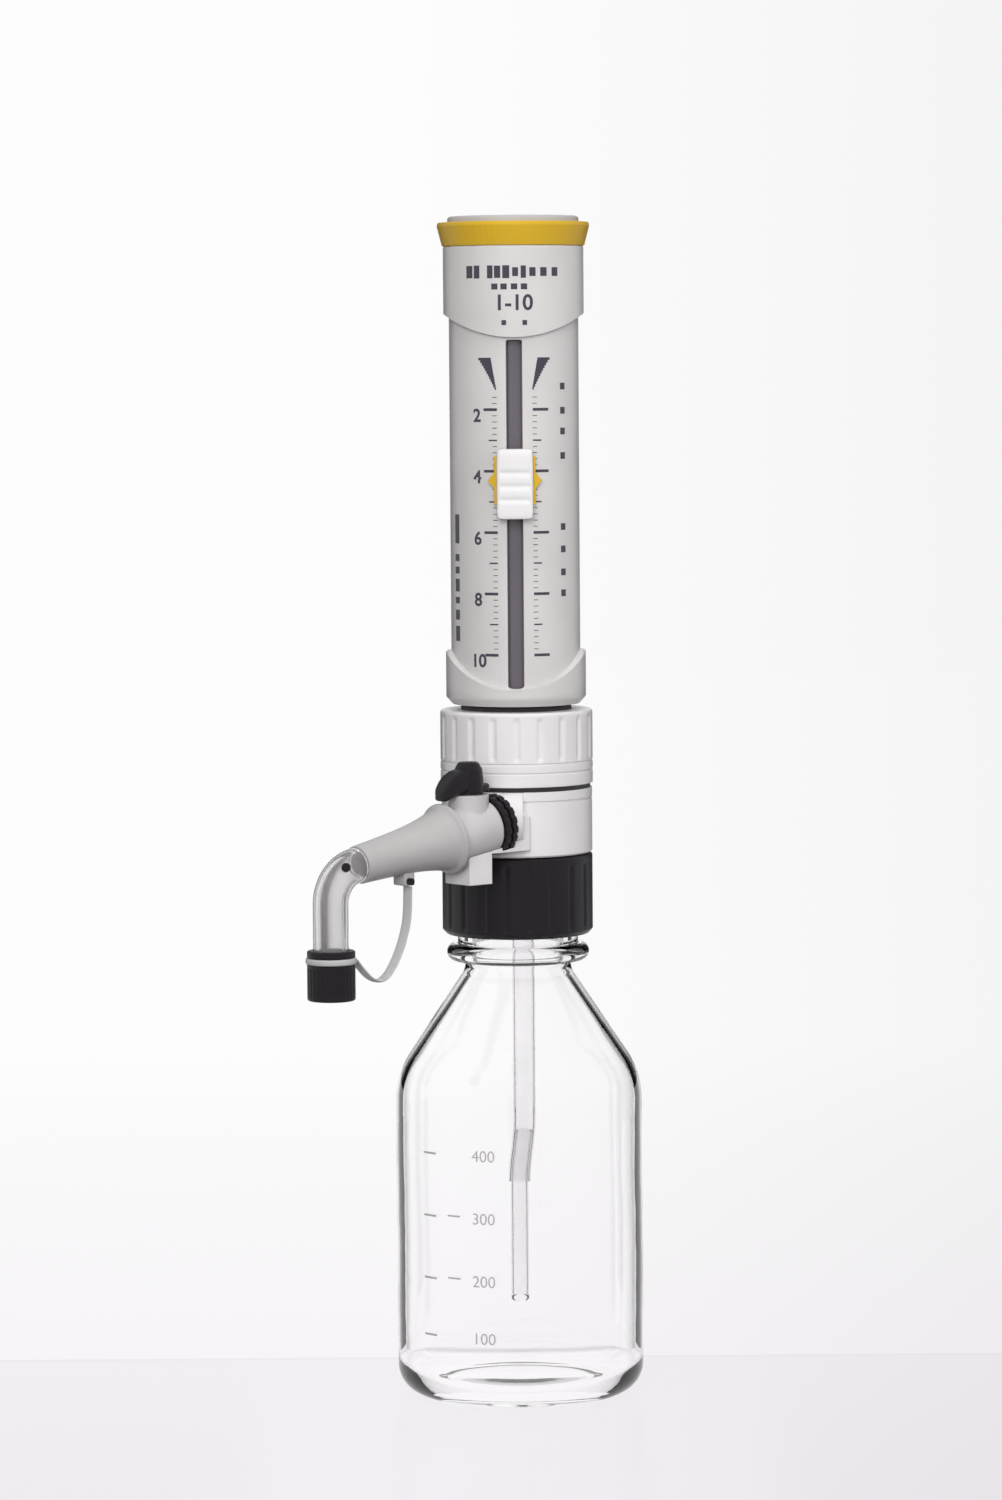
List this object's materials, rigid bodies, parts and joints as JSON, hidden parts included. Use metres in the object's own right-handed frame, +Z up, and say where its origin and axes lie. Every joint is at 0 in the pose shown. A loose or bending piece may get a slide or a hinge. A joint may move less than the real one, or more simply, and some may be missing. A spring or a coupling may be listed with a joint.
{
  "type": "bottle top dispenser",
  "caption": "Piston dispenser on a glass reagent bottle: lift the sleeve to draw a set volume, press it to dose through a bent spout with a stopcock.",
  "frame": {"origin": "middle of the bottle's foot, on the surface that it stands on", "axes": "+Z up along the bottle and plunger, +X to the right of someone who reads the scale, -Y towards them"},
  "size_m": [0.1143, 0.1272, 0.41],
  "materials": {
    "bottle_glass": "clear borosilicate glass, smooth",
    "cylinder_glass": "clear precision-bore glass",
    "seal_white": "white fluoropolymer-faced seal",
    "fluoropolymer": "waxy white fluoropolymer",
    "black_plastic": "black moulded polypropylene, satin",
    "dark_plastic": "dark smooth tube, glossy",
    "rubber_black": "black elastomer",
    "white_plastic": "off-white moulded plastic, satin",
    "sleeve_plastic": "light grey moulded plastic with printed scale",
    "grey_plastic": "grey moulded plastic, satin",
    "housing_plastic": "grey slightly cloudy fluoropolymer",
    "yellow_plastic": "ochre yellow moulded plastic",
    "clear_tube": "clear fluoropolymer tube",
    "spout_plastic": "clear thick-walled fluoropolymer",
    "strap_plastic": "cloudy natural polyethylene",
    "ceramic_ball": "polished ceramic ball",
    "steel": "stainless steel"
  },
  "bodies": {
    "bottle": {"bottle": "bottle_glass"},
    "seal": {"lip_seal": "seal_white"},
    "union": {"union_nut": "black_plastic"},
    "head": {"valve_block": "white_plastic", "inlet_valve_body": "fluoropolymer", "filling_tube_upper": "clear_tube", "filling_tube_lower": "clear_tube", "cylinder_gasket": "seal_white", "glass_cylinder": "cylinder_glass", "centring_ring": "rubber_black", "guard_tube": "dark_plastic", "knurled_collar": "white_plastic", "collar_gasket": "rubber_black", "buffer_ring": "rubber_black", "discharge_seat": "fluoropolymer", "discharge_spring": "steel", "lock_ring": "black_plastic", "stopcock_housing": "housing_plastic", "nozzle_cover": "grey_plastic", "tether_pin": "black_plastic", "discharge_tube": "clear_tube", "spout": "spout_plastic", "vent_plug": "black_plastic", "tether": "strap_plastic"},
    "inlet_ball": {"inlet_ball": "ceramic_ball"},
    "discharge_ball": {"discharge_ball": "ceramic_ball"},
    "lever": {"stopcock_plug": "fluoropolymer", "stopcock_lever": "black_plastic"},
    "cap": {"outlet_cap": "black_plastic", "tether_ring": "strap_plastic"},
    "plunger": {"outer_sleeve": "sleeve_plastic", "guide_ring": "fluoropolymer", "setting_rack": "black_plastic", "top_cap": "yellow_plastic", "cap_cover": "grey_plastic", "calibration_bush": "white_plastic", "rod_nut": "steel", "piston_rod": "steel", "piston": "fluoropolymer", "piston_seal": "fluoropolymer"},
    "slider": {"volume_slider": "white_plastic", "slider_pointer": "yellow_plastic", "slider_lug": "black_plastic", "slider_screw": "steel"}
  },
  "joints": [
    {"name": "thread_rise", "type": "slide", "parent": "bottle", "child": "seal", "axis": [0, 0, 1], "range_m": [0, 0.008]},
    {"name": "nut_turn", "type": "hinge", "parent": "seal", "child": "union", "pos_m": [0, 0, 0.177], "axis": [0, 0, 1], "range_deg": [0, 721]},
    {"name": "head_turn", "type": "hinge", "parent": "seal", "child": "head", "pos_m": [0, 0, 0.1785], "axis": [0, 0, 1], "continuous": true},
    {"name": "plunger_lift", "type": "slide", "parent": "head", "child": "plunger", "axis": [0, 0, 1], "range_m": [0, 0.04524]},
    {"name": "volume_set", "type": "slide", "parent": "plunger", "child": "slider", "axis": [0, 0, 1], "range_m": [-0.05998, 0.03472]},
    {"name": "lever_turn", "type": "hinge", "parent": "head", "child": "lever", "pos_m": [-0.01658, -0.03688, 0.20019], "axis": [0, 0, 1], "range_deg": [0, 90]},
    {"name": "cap_pull", "type": "slide", "parent": "head", "child": "cap", "axis": [0, 0, -1], "range_m": [0, 0.016], "deforming": ["tether"]},
    {"name": "inlet_ball_lift", "type": "slide", "parent": "head", "child": "inlet_ball", "axis": [0, 0, 1], "range_m": [0, 0.0014]},
    {"name": "discharge_ball_lift", "type": "slide", "parent": "head", "child": "discharge_ball", "axis": [-0.7555, -0.634, -0.165], "range_m": [0, 0.001], "stiffness_N_per_m": 60, "springref_m": -0.002, "deforming": ["discharge_spring"]}
  ],
  "couplings": [
    {"joint": "nut_turn", "follows": "thread_rise", "rad_per_m": 1570.8}
  ]
}
